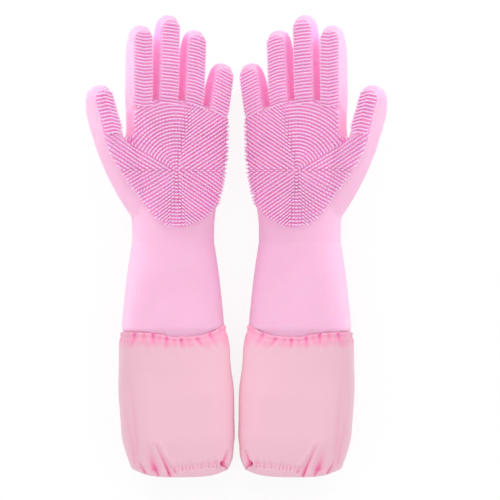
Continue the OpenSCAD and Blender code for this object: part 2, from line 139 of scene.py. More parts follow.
world = bpy.data.worlds.new("studio_white")
bpy.context.scene.world = world
world.use_nodes = True
tree = world.node_tree
dial(tree.nodes["Background"], {"Color": (1, 1, 1, 1), "Strength": 1})
seen_sky = tree.nodes.new("ShaderNodeBackground")
sky_mix = tree.nodes.new("ShaderNodeMixShader")
tree.links.new(seen_share(tree, 1), sky_mix.inputs[0])
tree.links.new(tree.nodes["Background"].outputs[0], sky_mix.inputs[1])
tree.links.new(seen_sky.outputs[0], sky_mix.inputs[2])
tree.links.new(sky_mix.outputs[0], tree.nodes["World Output"].inputs["Surface"])

# Each lamp lights its own glove and the floor, so that both gloves are lit alike from the thumb's side.
lit_groups = {}
lamp_place, lamp_aim = np.array((-0.66, 0.98, 0.52)), np.array((-0.08, 0.08, 0.04))
lamp_size, lamp_watts = 0.6, 5
for side, flip in (("left", 1), ("right", -1)):
    bpy.ops.object.light_add(type="AREA", location=lamp_place * (flip, 1, 1))
    lamp = bpy.context.object
    lamp.name = f"lamp_{side}"
    lamp.data.size = lamp_size
    lamp.data.energy = lamp_watts
    aim = (lamp_aim - lamp_place) * (flip, 1, 1)
    lamp.rotation_euler = (math.atan2(math.hypot(aim[0], aim[1]), -aim[2]), 0, math.atan2(-aim[0], aim[1]))
    lit_groups[side] = bpy.data.collections.new(f"lit_{side}")
    lit_groups[side].objects.link(floor)
    lamp.light_linking.receiver_collection = lit_groups[side]

# Glove body: hand, stalls and gauntlet are one soft silicone moulding with a 2 mm wall.
# It is shaped as rings from the gauntlet's rim to the webs and out along each stall, then
# fused, smoothed and parted where the bodies of the frame bend.
joints = {joint["name"]: joint for joint in frame["joints"]}
digits = ("index", "middle", "ring", "little", "thumb")


def spot(joint):
    """Where a joint of the frame is."""
    return np.array(joints[joint]["pos_m"])


def axis(joint):
    """The direction that a joint of the frame turns about."""
    return np.array(joints[joint]["axis"])


def mix(a, b, t):
    """From a to b by a share."""
    return a + (b - a) * t


def ease(t):
    """A share that starts and ends softly."""
    t = np.clip(t, 0, 1)
    return t * t * (3 - 2 * t)


def rounded(turn, half_width, half_height, squareness, under=None):
    """Points of a rounded rectangle at the given turns, across and up; its under half may be rounder."""
    c, s = np.cos(turn), np.sin(turn)
    power = 2 / np.where(s < 0, under or squareness, squareness)
    across = half_width * np.sign(c) * np.abs(c) ** power
    return across, half_height * np.sign(s) * np.abs(s) ** power


def loft(name, stations, ends="NGON", around=64, mark=None):
    """A ring extruded from station to station; a station gives points at turns, and marks if one is named."""
    bpy.ops.object.select_all(action="DESELECT")
    bpy.ops.mesh.primitive_circle_add(vertices=around, fill_type=ends)
    piece = bpy.context.object
    piece.name = piece.data.name = name
    bpy.context.scene.tool_settings.mesh_select_mode = (True, False, False)
    bpy.ops.object.mode_set(mode="EDIT")
    rings = bmesh.from_edit_mesh(piece.data)
    turn_layer = rings.verts.layers.float.new("turn")
    for v in rings.verts:
        v[turn_layer] = math.atan2(v.co.y, v.co.x)
    if mark:
        rings.verts.layers.float.new(mark)
    for i, station in enumerate(stations):
        if i:
            bpy.ops.mesh.extrude_region_move()
        rings = bmesh.from_edit_mesh(piece.data)
        turn_layer = rings.verts.layers.float["turn"]
        mark_layer = mark and rings.verts.layers.float[mark]
        ring = [v for v in rings.verts if v.select]
        for v, point in zip(ring, station(np.array([v[turn_layer] for v in ring]))):
            v.co = point[:3]
            if mark:
                v[mark_layer] = point[3]
    bmesh.update_edit_mesh(piece.data)
    bpy.ops.mesh.select_all(action="SELECT")
    bpy.ops.mesh.normals_make_consistent(inside=False)
    bpy.ops.object.mode_set(mode="OBJECT")
    return piece


def finish_with(piece, kind, **settings):
    """Adds a modifier and applies it."""
    bpy.context.view_layer.objects.active = piece
    modifier = piece.modifiers.new(kind.lower(), kind)
    for setting, value in settings.items():
        setattr(modifier, setting, value)
    bpy.ops.object.modifier_apply(modifier=modifier.name)


def rows_of(items, what):
    """One vector of each of a mesh's items, as rows."""
    flat = np.zeros(len(items) * 3)
    items.foreach_get(what, flat)
    return flat.reshape(-1, 3)


def points_of(piece):
    """Places of a piece's points."""
    return rows_of(piece.data.vertices, "co")


wrist = spot("left_wrist_bend")
hand_across = axis("left_wrist_bend")
hand_along = np.array((0, 1, 0))
hand_up = np.cross(hand_across, hand_along)
palm_width, palm_thick, palm_square = 108.5 * mm, 34 * mm, 3
wrist_width, wrist_thick, wrist_square = 83.5 * mm, 42 * mm, 3.4
web_y, web_drop, web_round = 141 * mm, 9 * mm, 6.5 * mm
crotch_depth, crotch_along, crotch_long = 2 * mm, 112 * mm, 14 * mm
finger_pitch, finger_width, finger_thick = 28.6 * mm, 22 * mm, 26 * mm
# Where the palm widens and where it thins, from and over what shares of the way to the webs.
widens_at, widens_over, thins_at, thins_over = 0.08, 0.6, 0.7, 0.3


def in_hand(across, along, up):
    """Places of the hand's own points: across, along from the wrist and up from the palm's face."""
    return wrist + np.outer(across, hand_across) + np.outer(along, hand_along) + np.outer(up, hand_up)


def palm_station(along, inset):
    """A ring of the palm, set in from its full size; towards the webs it slants to the little finger."""
    full = ease((along / web_y - widens_at) / widens_over)
    thin = ease((along / web_y - thins_at) / thins_over)
    half_width = mix(wrist_width, palm_width, full) / 2
    half_thick = mix(mix(wrist_thick, palm_thick, full), finger_thick, thin) / 2
    squareness = mix(wrist_square, palm_square, full)

    def station(turn):
        across, up = rounded(turn, half_width - inset, half_thick - inset, squareness)
        slant = web_drop * ease(across / finger_pitch - 1 / 3) * ease(2 * along / web_y - 1)
        crotch = crotch_depth * math.exp(-(((along - crotch_along) / crotch_long) ** 2))
        across = across + crotch * np.clip(-across / half_width, 0, 1) ** 4
        return in_hand(across, along - slant, up - half_thick)

    return station


# The arm keeps the wrist's middle line, turns flat towards the cuff and lies clear of the floor.
gauntlet_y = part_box("left_gauntlet")[0].y
gauntlet_length = wrist[1] - gauntlet_y
sleeve_end_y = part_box("left_cuff_hem")[0].y
arm_length = wrist[1] - sleeve_end_y
arm_middle = in_hand([0], [0], [-wrist_thick / 2])[0]
rim_width, rim_thick, arm_square = 106 * mm, 49 * mm, 4.2
lying_square = 2.5
hand_roll = math.atan2(-hand_across[2], hand_across[0])
cuff_roll = math.radians(7)
rim_clear = 4.2 * mm


def arm_place(down, across, up, height):
    """Points of an arm section at a distance below the wrist, with its middle at a height."""
    roll = mix(hand_roll, cuff_roll, ease(1.5 * down / arm_length))
    return np.stack(
        (
            arm_middle[0] + across * np.cos(roll) + up * np.sin(roll),
            wrist[1] - down + 0 * across,
            height - across * np.sin(roll) + up * np.cos(roll),
        ),
        axis=-1,
    )


whole_turn = np.linspace(0, 2 * math.pi, 180, endpoint=False)


def arm_reach(down, half_width, half_thick, squareness):
    """How far an arm section reaches below its middle."""
    across, up = rounded(whole_turn, half_width, half_thick, squareness)
    return -arm_place(down, across, up, 0)[:, 2].min()


def gauntlet_size(down):
    """Half the gauntlet's width and thickness at a distance below the wrist."""
    share = (np.maximum(down, 0) / gauntlet_length) ** 0.8
    return mix(wrist_width, rim_width, share) / 2, mix(wrist_thick, rim_thick, share) / 2


def gauntlet_height(down):
    """Height of the gauntlet's middle, which comes down to the floor from wrist to rim."""
    wrist_clear = arm_middle[2] - arm_reach(0, wrist_width / 2, wrist_thick / 2, lying_square)
    reach = arm_reach(down, *gauntlet_size(down), lying_square)
    return reach + mix(wrist_clear, rim_clear, ease(down / (0.82 * gauntlet_length)))


sleeve_top_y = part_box("left_sleeve")[1].y
sleeve_top = wrist[1] - sleeve_top_y
grip_depth, grip_over = 2.6 * mm, 6 * mm


def gauntlet_station(down, grow):
    """A ring of the gauntlet, gripped a little by the elastic from the sleeve's top edge down."""
    half_width, half_thick = gauntlet_size(down)
    grow = grow - grip_depth * ease((down - sleeve_top) / grip_over + 1.2)
    squareness = mix(wrist_square, arm_square, ease(down / (0.4 * gauntlet_length)))
    height = gauntlet_height(down)

    def station(turn):
        across, up = rounded(turn, half_width + grow, half_thick + grow, squareness)
        return arm_place(down, across, up, height)

    return station


bead_height, bead_flat, bead_wide = 1.2 * mm, 1.2 * mm, 4.8 * mm
past_rim, past_wrist = 4 * mm, 6 * mm
rim_downs = (gauntlet_length + past_rim, gauntlet_length - bead_flat)
arm_downs = np.linspace(gauntlet_length - bead_wide, 0, 26)
palm_alongs = np.linspace(past_wrist, 0.93 * web_y, 24)
body_stations = [gauntlet_station(down, bead_height) for down in rim_downs]
body_stations += [gauntlet_station(down, 0) for down in arm_downs]
body_stations += [palm_station(along, 0) for along in palm_alongs]
body_stations += [palm_station(web_y - web_round / 3, web_round / 4), palm_station(web_y, web_round)]
body_lofts = [loft("palm_form", body_stations)]

# A stall is flat on its palm side, and its back is rounder and thins towards the end.
stall_length = {"index": 66 * mm, "middle": 77 * mm, "ring": 62.5 * mm, "little": 39 * mm, "thumb": 44 * mm}
thumb_width, thumb_thick, thumb_shift = 26 * mm, 26 * mm, 1.8 * mm
stall_shift = dict.fromkeys(digits, 0) | {"thumb": thumb_shift}
stall_square, back_square = 5, 2.8
back_thins, back_thins_over = 0.36, 28 * mm


def digit_frame(name, side="left"):
    """A stall's knuckle and its directions across, along and up."""
    knuckle, crease = spot(f"{side}_{name}_knuckle"), spot(f"{side}_{name}_crease")
    along = (crease - knuckle) / np.linalg.norm(crease - knuckle)
    across = axis(f"{side}_{name}_knuckle")
    return knuckle, across, along, np.cross(across, along)


def stall_station(name, along, size, drop=0, aside=0):
    """A ring of a stall at a distance from its knuckle, dropped below its face and moved aside."""
    knuckle, across_way, along_way, up_way = digit_frame(name)
    width, thick = (thumb_width, thumb_thick) if name == "thumb" else (finger_width, finger_thick)
    half_width, half_thick = width / 2, thick / 2
    shift = stall_shift[name] + aside
    thin = 1 - back_thins * ease((along - stall_length[name]) / back_thins_over + 1)

    def station(turn):
        across, up = rounded(turn, half_width * size, half_thick * size, stall_square, back_square)
        lift = (up - half_thick) * thin - drop
        return knuckle + np.outer(across + shift, across_way) + along * along_way + np.outer(lift, up_way)

    return station


tip_round, tip_power = 12.6 * mm, 2.3
root_size, end_size = 1.02, 0.97
tip_shares = np.sin(np.linspace(0, 0.98 * math.pi / 2, 10))[1:]
stalls = {}
for name, length in stall_length.items():
    stalls[name] = [
        stall_station(name, along, mix(root_size, end_size, along / length))
        for along in np.linspace(0, length - tip_round, 14)
    ]
    stalls[name] += [
        stall_station(name, length - tip_round * (1 - t), end_size * (1 - t**tip_power) ** (1 / tip_power))
        for t in tip_shares
    ]

# The fingers' roots run on into the hand, where they sink below its face.
root_drop, root_narrows = 3.5 * mm, 0.06
root_last = 2 * mm
root_lengths = {"index": 36 * mm, "middle": 17 * mm, "ring": 17 * mm, "little": 34 * mm}
root_aside = {"index": 2.4 * mm, "middle": 0, "ring": 0, "little": -0.6 * mm}
for name, length in root_lengths.items():
    roots = np.linspace(-length, -root_last, 8)
    stalls[name] = [
        stall_station(name, along, root_size - root_narrows * deep, root_drop * deep, root_aside[name] * deep)
        for along, deep in zip(roots, ease(-roots / length))
    ] + stalls[name]

# The ball of the thumb swells from the heel of the hand up to the thumb's knuckle.
# Its outer edge runs on from the thumb's and bends round to the wrist in one curve.
ball_width, ball_drop = 46 * mm, 6 * mm
ball_from, ball_turn = 0.24, math.radians(162)
thumb_twist = math.radians(10)
thumb_lean = math.asin(axis("left_thumb_knuckle")[1] / math.cos(thumb_twist))
lean_across = np.array((math.cos(thumb_lean), math.sin(thumb_lean)))
lean_down = np.array((math.sin(thumb_lean), -math.cos(thumb_lean)))
thumb_root = spot("left_thumb_knuckle") - wrist
edge_straight, edge_inset, edge_up = 36 * mm, 2 * mm, 22 * mm
edge_start = np.array((thumb_root @ hand_across, thumb_root[1]))
edge_start = edge_start + (thumb_shift - thumb_width / 2) * lean_across
edge_bend = edge_start + edge_straight * lean_down
edge_end = np.array((edge_inset - wrist_width / 2, edge_up))


def ball_station(t):
    """A ring of the ball of the thumb, at a share of the way from the thumb's knuckle to the heel."""
    swollen = math.sin(ball_turn * max(0, t - ball_from) / (1 - ball_from))
    half_width = mix(thumb_width, ball_width, swollen) / 2
    half_thick = mix(thumb_thick, palm_thick, ease(1.1 * t)) / 2
    drop = ball_drop * ease(1.3 * t)
    twist = thumb_twist * (1 - t)
    edge = mix(mix(edge_start, edge_bend, t), mix(edge_bend, edge_end, t), t)
    middle = edge + half_width * lean_across

    def station(turn):
        squareness = mix(stall_square, palm_square, ease(2 * t))
        x, z = rounded(turn, half_width, half_thick, squareness, back_square)
        z = z - half_thick - drop
        x, z = x * math.cos(twist) + z * math.sin(twist), z * math.cos(twist) - x * math.sin(twist)
        return in_hand(middle[0] + x * lean_across[0], middle[1] + x * lean_across[1], z)

    return station


stalls["thumb"] = [ball_station(t) for t in np.linspace(1, 0.04, 18)] + stalls["thumb"]
body_lofts += [loft(f"{name}_form", stall) for name, stall in stalls.items()]

voxel = 1.25 * mm
floor_soft = 1 * mm
bpy.ops.object.select_all(action="DESELECT")
for form in body_lofts:
    form.select_set(True)
bpy.context.view_layer.objects.active = body_lofts[0]
bpy.ops.object.join()
skin = bpy.context.object
finish_with(skin, "REMESH", mode="VOXEL", voxel_size=voxel)
finish_with(skin, "SMOOTH", factor=0.5, iterations=9)
# What would reach below the floor is pressed flat on it.
places = points_of(skin)
places[:, 2] = (places[:, 2] + np.hypot(places[:, 2], floor_soft)) / 2
skin.data.vertices.foreach_set("co", places.ravel())
skin.data.update()

# The scrubbing face is a raised panel of the moulding with a soft lip round its edge.
# On the palm its edge is a smooth loop over the floor plan, and on a stall a long rounded strip.
pad_edge = np.array([
    (-139, 148), (-134, 117), (-127, 95), (-117, 77), (-107, 64), (-96, 48), (-85, 33), (-72, 22), (-59, 18),
    (-45, 21), (-31, 29), (-19, 42), (-11, 60), (-7, 84), (-5, 108), (-6, 130), (-24, 137), (-38, 144),
    (-62, 148), (-92, 148), (-101, 142), (-102, 124), (-103, 112), (-110, 108), (-117, 112), (-123, 126),
]) * mm
for _ in range(3):
    ahead = np.roll(pad_edge, -1, axis=0)
    pad_edge = np.stack((mix(pad_edge, ahead, 0.25), mix(pad_edge, ahead, 0.75)), axis=1).reshape(-1, 2)
pad_deep = 0.62 * palm_thick
finger_strip, thumb_strip = 9.8 * mm, 10.8 * mm
strip_tip, strip_round, strip_deep = 5 * mm, 8.5 * mm, 0.4 * finger_thick
strip_roots = dict.fromkeys(digits, 20 * mm) | {"thumb": 8 * mm}


def inside_loop(places, loop):
    """How deep places lie inside a closed loop, below zero outside it."""
    depth = np.full(len(places), 1e9)
    odd = np.zeros(len(places), bool)
    for a, b in zip(loop, np.roll(loop, -1, axis=0)):
        side, away = b - a, places - a
        t = np.clip(away @ side / (side @ side), 0, 1)
        depth = np.minimum(depth, np.linalg.norm(away - np.outer(t, side), axis=1))
        crossed = (a[1] > places[:, 1]) != (b[1] > places[:, 1])
        with np.errstate(divide="ignore", invalid="ignore"):
            odd ^= crossed & (places[:, 0] < a[0] + side[0] * (places[:, 1] - a[1]) / side[1])
    return np.where(odd, depth, -depth)


def on_digit(name, places):
    """Places in a stall's own directions: across, along and up."""
    knuckle, across_way, along_way, up_way = digit_frame(name)
    away = places - knuckle
    return away @ across_way, away @ along_way, away @ up_way


def inside_strip(name, places):
    """How deep places lie inside a stall's strip, below zero outside it."""
    across, along, up = on_digit(name, places)
    end = stall_length[name] - strip_tip
    half_width = thumb_strip if name == "thumb" else finger_strip
    over = np.abs(across - stall_shift[name]) - half_width + strip_round
    past = np.abs(along - (end - strip_roots[name]) / 2) - (end + strip_roots[name]) / 2 + strip_round
    outside = np.hypot(np.maximum(over, 0), np.maximum(past, 0)) + np.minimum(np.maximum(over, past), 0)
    return np.where(up > -strip_deep, strip_round - outside, -1)


def scrub_depth(places):
    """How deep places lie inside the scrubbing face."""
    up = (places - wrist) @ hand_up
    depth = np.where(up > -pad_deep, inside_loop(places[:, :2], pad_edge), -1)
    for name in digits:
        depth = np.maximum(depth, inside_strip(name, places))
    return depth


def pick(piece):
    """Leaves just one piece selected and active."""
    bpy.ops.object.select_all(action="DESELECT")
    piece.select_set(True)
    bpy.context.view_layer.objects.active = piece


def select_faces(piece, chosen):
    """Leaves just the chosen faces of a piece selected."""
    pick(piece)
    piece.data.vertices.foreach_set("select", np.zeros(len(piece.data.vertices), bool))
    piece.data.edges.foreach_set("select", np.zeros(len(piece.data.edges), bool))
    piece.data.polygons.foreach_set("select", chosen)


def face_middles(piece):
    """Places of the middles of a piece's faces."""
    return rows_of(piece.data.polygons, "center")


panel_rise, lip_rise, lip_width = 0.7 * mm, 1.0 * mm, 1.5 * mm
bpy.context.scene.tool_settings.mesh_select_mode = (False, False, True)
select_faces(skin, np.abs(scrub_depth(face_middles(skin)) - 0.5 * lip_width) < 2 * lip_width)
bpy.ops.object.mode_set(mode="EDIT")
bpy.ops.mesh.subdivide(number_cuts=1)
bpy.ops.object.mode_set(mode="OBJECT")
places, outward = points_of(skin), rows_of(skin.data.vertices, "normal")
depth = scrub_depth(places)
rise = panel_rise * ease(depth / lip_width + 0.5) + lip_rise * np.exp(-((depth / lip_width - 0.6) ** 2) * 3)
rise[depth < -2 * lip_width] = 0
skin.data.vertices.foreach_set("co", (places + outward * rise[:, None]).ravel())
skin.data.update()
# The panel is a deeper pink of its own; the walls between the stalls take the same colour as painted shade and
# bounced light.
walls_before, walls_over, panel_soft = 14 * mm, 8 * mm, 1 * mm
along = places[:, 1] - wrist[1]
between = (on_digit("index", places)[0] > 0) & (on_digit("little", places)[0] < 0)
painted_wall_shade = between * ease((along - web_y + walls_before) / walls_over)
painted_wall_shade = painted_wall_shade * ease(np.abs(outward @ hand_across) / 0.4 - 1)
panel = skin.data.attributes.new("panel", "FLOAT", "POINT")
panel.data.foreach_set("value", np.maximum(painted_wall_shade, ease((depth - 1.2 * lip_width) / panel_soft)))
skin_tree = BVHTree.FromObject(skin, bpy.context.evaluated_depsgraph_get())


def part_off(piece, name, near, point, normal, beyond):
    """Cuts a piece along a plane where near says, and parts off the faces that beyond says."""
    select_faces(piece, near(face_middles(piece)))
    bpy.ops.object.mode_set(mode="EDIT")
    bpy.ops.mesh.bisect(plane_co=point, plane_no=normal)
    bpy.ops.object.mode_set(mode="OBJECT")
    select_faces(piece, beyond(face_middles(piece)))
    bpy.ops.object.mode_set(mode="EDIT")
    bpy.ops.mesh.separate(type="SELECTED")
    bpy.ops.object.mode_set(mode="OBJECT")
    parted = next(o for o in bpy.context.selected_objects if o is not piece)
    parted.name = parted.data.name = name
    return parted


# What stands past the rim is cut off, and the rest is parted at the wrist and on each stall.
arm_cut_reach, stall_cut_reach, thumb_reach = 8 * mm, 6 * mm, 3 * mm
scrap = part_off(
    skin, "scrap", lambda m: m[:, 1] < gauntlet_y + arm_cut_reach, (0, gauntlet_y, 0), (0, 1, 0),
    lambda m: m[:, 1] < gauntlet_y,
)
bpy.data.objects.remove(scrap)
wrist_bend = 14 * mm
wrist_cut = wrist[1] + wrist_bend
skins = {
    "gauntlet": part_off(
        skin, "left_gauntlet_skin", lambda m: np.abs(m[:, 1] - wrist_cut) < arm_cut_reach,
        (0, wrist_cut, 0), (0, 1, 0), lambda m: m[:, 1] < wrist_cut,
    )
}
knuckle_bend = (-5 * mm, 8 * mm)
crease_bend = 8 * mm
for name in digits:
    knuckle, across_way, along_way, up_way = digit_frame(name)
    bend_at = np.linalg.norm(spot(f"left_{name}_crease") - knuckle) - crease_bend
    reach = finger_pitch / 2 + thumb_reach * (name == "thumb")
    past_end = 1.2 * stall_length[name]

    def near_digit(middles, low, high):
        across, along, up = on_digit(name, middles)
        return (np.abs(across) < reach) & (along > low) & (along < high)

    skins[f"{name}_base"] = part_off(
        skin, f"left_{name}_base_skin",
        lambda m: near_digit(m, knuckle_bend[0] - stall_cut_reach, knuckle_bend[0] + stall_cut_reach),
        knuckle + knuckle_bend[0] * along_way, along_way,
        lambda m: near_digit(m, knuckle_bend[0], past_end),
    )
    skins[f"{name}_tip"] = part_off(
        skins[f"{name}_base"], f"left_{name}_tip_skin", lambda m: m[:, 0] < 1,
        knuckle + bend_at * along_way, along_way,
        lambda m: near_digit(m, bend_at, past_end),
    )
skin.name = skin.data.name = "left_hand_skin"
skins["hand"] = skin


def noise(tree, where, scale, detail):
    """A noise over a piece's own places."""
    node = tree.nodes.new("ShaderNodeTexNoise")
    dial(node, {"Scale": scale, "Detail": detail})
    tree.links.new(where.outputs["Object"], node.inputs["Vector"])
    return node.outputs["Fac"]


def moulded_surface():
    """Node group: slow mottle of tone and roughness and the fine grain of a moulded surface."""
    group = bpy.data.node_groups.new("moulded_surface", "ShaderNodeTree")
    for socket in ("Mottle", "Grain"):
        group.interface.new_socket(socket, in_out="INPUT", socket_type="NodeSocketFloat")
    for socket in ("Tone", "Roughness", "Height"):
        group.interface.new_socket(socket, in_out="OUTPUT", socket_type="NodeSocketFloat")
    given, made = group.nodes.new("NodeGroupInput"), group.nodes.new("NodeGroupOutput")
    where = group.nodes.new("ShaderNodeTexCoord")

    def spread(value, low, high):
        node = group.nodes.new("ShaderNodeMapRange")
        dial(node, {"From Min": 0.3, "From Max": 0.7, "To Min": low, "To Max": high})
        group.links.new(value, node.inputs["Value"])
        return node.outputs["Result"]

    mottle, gloss, grain = (noise(group, where, *kind) for kind in ((28, 3), (90, 4), (1500, 2)))
    tone = calculated(group, "MULTIPLY_ADD", spread(mottle, -1, 0.6), given.outputs["Mottle"], 1)
    height = calculated(group, "MULTIPLY", grain, given.outputs["Grain"])
    group.links.new(tone, made.inputs["Tone"])
    group.links.new(spread(gloss, 0.42, 0.56), made.inputs["Roughness"])
    group.links.new(height, made.inputs["Height"])
    return group


def tint(tree, colour, tone):
    """Gives a material's shader a colour that a tone makes lighter or darker."""
    toned = tree.nodes.new("ShaderNodeVectorMath")
    toned.operation = "SCALE"
    tree.links.new(colour, toned.inputs[0])
    tree.links.new(tone, toned.inputs["Scale"])
    tree.links.new(toned.outputs[0], tree.nodes["Principled BSDF"].inputs["Base Color"])


def emboss(tree, height, strength, distance):
    """Gives a material's shader a fine relief."""
    bump = tree.nodes.new("ShaderNodeBump")
    dial(bump, {"Strength": strength, "Distance": distance})
    tree.links.new(height, bump.inputs["Height"])
    tree.links.new(bump.outputs[0], tree.nodes["Principled BSDF"].inputs["Normal"])


surface_group = moulded_surface()


def silicone(name, colour, masked_colour, mask, mottle, glow_depth):
    """A soft moulded silicone that mixes in a second colour where a mask of the piece says."""
    material, tree, shader = new_material(name)
    dial(shader, {"Subsurface Weight": 0.5, "Subsurface Radius": (1.0, 0.3, 0.55)})
    dial(shader, {"Subsurface Scale": glow_depth, "Sheen Weight": 0.12, "IOR": 1.41})
    surface = tree.nodes.new("ShaderNodeGroup")
    surface.node_tree = surface_group
    dial(surface, {"Mottle": mottle, "Grain": 1})
    mask_node = tree.nodes.new("ShaderNodeAttribute")
    mask_node.attribute_name = mask
    colours = tree.nodes.new("ShaderNodeMix")
    colours.data_type = "RGBA"
    dial(colours, {"A": colour, "B": masked_colour})
    tree.links.new(mask_node.outputs["Fac"], colours.inputs["Factor"])
    tint(tree, colours.outputs["Result"], surface.outputs["Tone"])
    tree.links.new(surface.outputs["Roughness"], shader.inputs["Roughness"])
    emboss(tree, surface.outputs["Height"], 0.15, 0.1 * mm)
    return material


def both_sides(piece, lamps=("left", "right")):
    """The left glove's piece and its mirror image for the right glove, each under one of the lamps."""
    copy = piece.copy()
    copy.data = piece.data.copy()
    copy.name = copy.data.name = piece.name.replace("left", "right")
    bpy.context.collection.objects.link(copy)
    lit_groups[lamps[0]].objects.link(piece)
    lit_groups[lamps[1]].objects.link(copy)
    copy.data.vertices.foreach_set("co", (points_of(piece) * (-1, 1, 1)).ravel())
    copy.data.flip_normals()
    copy.data.update()
    return (("left", piece), ("right", copy))


def bend_with(piece, side, part):
    """Makes a piece bend as its part of the moulding does: at the wrist, at a knuckle or at a crease."""
    if part in ("hand", "palm"):
        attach(piece, f"{side}_hand")
    elif part == "gauntlet":
        middle, reach = spot(f"{side}_wrist_bend"), np.array((0, wrist_bend, 0))
        start, end = middle - reach, middle + reach
        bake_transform(piece, f"{side}_gauntlet", f"{side}_hand", start=tuple(start), end=tuple(end))
    else:
        name, stretch = part.split("_")
        knuckle, across, along, up = digit_frame(name, side)
        crease = spot(f"{side}_{name}_crease")
        if stretch == "base":
            start, end = knuckle + knuckle_bend[0] * along, knuckle + knuckle_bend[1] * along
            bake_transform(piece, f"{side}_hand", f"{side}_{name}_base", start=tuple(start), end=tuple(end))
        else:
            start, end = crease - crease_bend * along, crease + crease_bend * along
            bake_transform(piece, f"{side}_{name}_base", f"{side}_{name}_tip", start=tuple(start), end=tuple(end))


def smooth_by_angle(piece):
    """Smooth shading that keeps the rims of a wall sharp."""
    pick(piece)
    bpy.ops.object.shade_smooth_by_angle(angle=math.radians(60))


skin_wall = 2 * mm
# The skin's second colour is the panel's own deeper pink and painted shade on the walls between the stalls.
skin_colour, panel_and_wall_shade_colour = (0.93, 0.52, 0.73, 1), (0.99, 0.48, 0.78, 1)
skin_silicone = silicone("silicone_skin", skin_colour, panel_and_wall_shade_colour, "panel", 0.03, 0.5 * mm)
for part, left_piece in skins.items():
    left_piece.data.materials.clear()
    left_piece.data.materials.append(skin_silicone)
    finish_with(left_piece, "SOLIDIFY", thickness=skin_wall, offset=-1, use_even_offset=False)
    smooth_by_angle(left_piece)
    for side, piece in both_sides(left_piece):
        bend_with(piece, side, part)
        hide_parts(f"{side}_{part}")

# Scrubbing bristles: soft tapered pins of the same silicone, moulded on the raised panel.
# On the palm they stand in rings about its middle, and on the stalls in close cross rows.
bristle_long, bristle_foot, bristle_top = 3.5 * mm, 1.5 * mm, 1.15 * mm
bristle_sunk, bristle_crown = 0.6 * mm, 0.22 * mm
bristle_narrow, bristle_broad = 0.72, 1.42


def select_ends(piece, way):
    """Selects the faces at the top of an upright form in edit mode, or with a way of -1 those at its foot."""
    form = bmesh.from_edit_mesh(piece.data)
    for face in form.faces:
        face.select_set(way * face.normal.z > 0.9)
    bmesh.update_edit_mesh(piece.data)


bpy.ops.object.select_all(action="DESELECT")
bpy.ops.mesh.primitive_cone_add(
    vertices=6, radius1=bristle_foot, radius2=bristle_top, depth=bristle_long + bristle_sunk,
    location=(0, 0, (bristle_long - bristle_sunk) / 2),
)
bristle = bpy.context.object
bpy.ops.object.transform_apply(location=True)
bpy.ops.object.mode_set(mode="EDIT")
select_ends(bristle, 1)
bpy.ops.mesh.inset(thickness=0.3 * bristle_top)
bpy.ops.transform.translate(value=(0, 0, bristle_crown))
select_ends(bristle, -1)
bpy.ops.mesh.delete(type="FACE")
bpy.ops.object.mode_set(mode="OBJECT")
bristle_points = points_of(bristle)
bristle_faces = [tuple(face.vertices) for face in bristle.data.polygons]
bristle_share = np.clip(bristle_points[:, 2] / bristle_long, 0, 1) ** 0.6
bpy.data.objects.remove(bristle)


def plant(name, feet, ways, heights, ridges):
    """A piece made of bristles on feet, each along its way, at its height and broad along its ridge."""
    ways = ways / np.linalg.norm(ways, axis=1)[:, None]
    first = np.cross(ridges, ways)
    first /= np.linalg.norm(first, axis=1)[:, None]
    second = np.cross(ways, first) * np.linalg.norm(ridges, axis=1)[:, None]
    frames = np.stack((bristle_narrow * first, bristle_broad * second, ways * heights[:, None]), axis=1)
    placed = feet[:, None, :] + np.einsum("pk,nkc->npc", bristle_points, frames)
    count = len(bristle_points)
    faces = [tuple(i + k * count for i in face) for k in range(len(feet)) for face in bristle_faces]
    mesh = bpy.data.meshes.new(name)
    mesh.from_pydata(placed.reshape(-1, 3).tolist(), [], faces)
    piece = bpy.data.objects.new(name, mesh)
    bpy.context.collection.objects.link(piece)
    return piece


def on_skin(aims, way):
    """Where rays from aims along a way meet the skin, with the skin's normals there."""
    hits = [skin_tree.ray_cast(tuple(aim), tuple(way)) for aim in aims]
    found = [hit for hit in hits if hit[0] is not None]
    feet, normals = np.array([hit[0] for hit in found]), np.array([hit[1] for hit in found])
    return feet.reshape(-1, 3), normals.reshape(-1, 3)


ring_pitch, ring_count = 3.4 * mm, 30
bristle_margin = 1.3 * mm
ring_middle = np.array((-7 * mm, 72 * mm))
lattice = [(0.0, 0.0)]
for ring in range(1, ring_count):
    for place in range(6 * ring):
        turn = 2 * math.pi * (place / (6 * ring) + 1 / 12)
        lattice.append((ring * ring_pitch * math.cos(turn), ring * ring_pitch * math.sin(turn)))
lattice = np.array(lattice) + ring_middle
reach_up = 60 * mm
palm_feet, palm_ways = on_skin(
    in_hand(lattice[:, 0], lattice[:, 1], np.full(len(lattice), reach_up)), -hand_up
)
kept = (scrub_depth(palm_feet) > bristle_margin) & (inside_loop(palm_feet[:, :2], pad_edge) > 0)
# The palm's pins stop where the stalls' rows start, and are shorter towards them.
row_roots = {"index": -15 * mm, "middle": -12 * mm, "ring": -13 * mm, "little": -13 * mm, "thumb": -5 * mm}
row_reach, row_lap = 10.5 * mm, 0.8 * mm
finger_bristle, thumb_bristle = 0.78, 0.9
shorter_over = 16 * mm
palm_heights = np.ones(len(palm_feet))
for name in digits:
    across, along, up = on_digit(name, palm_feet)
    kept &= ~((np.abs(across) < row_reach) & (along > row_roots[name] + row_lap))
    shorter = mix(1, finger_bristle, ease((along - row_roots[name]) / shorter_over + 1))
    beside = np.abs(across) < finger_pitch * (0.9 if name == "little" else 0.5)
    palm_heights = np.where(beside, np.minimum(palm_heights, shorter), palm_heights)
